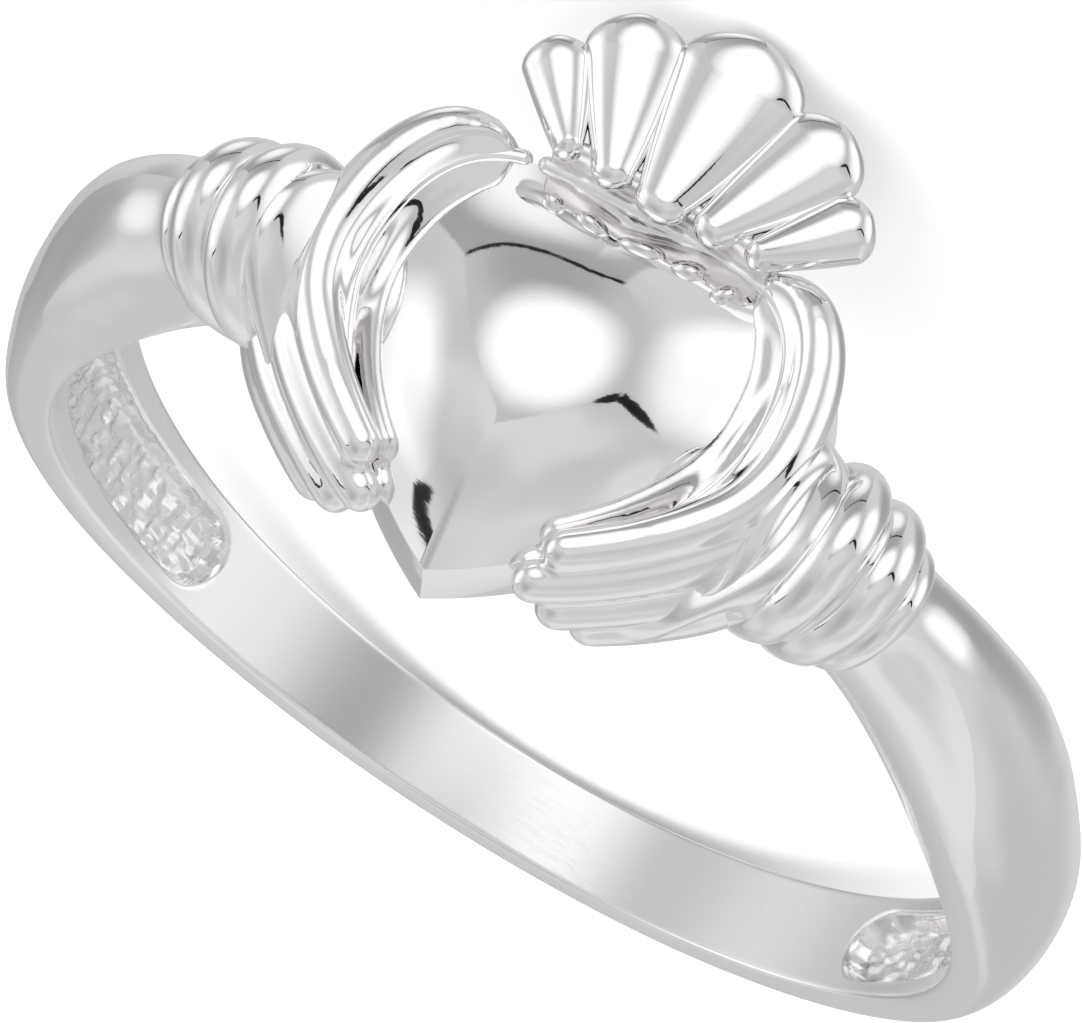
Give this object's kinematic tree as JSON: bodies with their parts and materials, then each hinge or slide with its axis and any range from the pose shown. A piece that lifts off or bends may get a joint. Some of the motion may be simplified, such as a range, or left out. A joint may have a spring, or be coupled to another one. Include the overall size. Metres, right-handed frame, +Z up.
{
  "type": "claddagh ring",
  "caption": "Polished silver finger ring: two cuffed hands hold a puffed heart under a fluted crown, on a band that tapers to the back.",
  "frame": {"origin": "centre of the bounding box in X and Y, on the surface the ring lies on", "axes": "+X across the hands, +Y from the back of the band towards the head, +Z up. The ring lies on its side, on the tip of its crown and the back edge of its band, so the bore's axis leans back by 15.8 degrees"},
  "size_m": [0.0198, 0.022, 0.0095],
  "materials": {
    "silver": "mirror polished, with a grainy cast finish in the inner pockets"
  },
  "bodies": {
    "root": {"ring": "silver"}
  },
  "joints": []
}
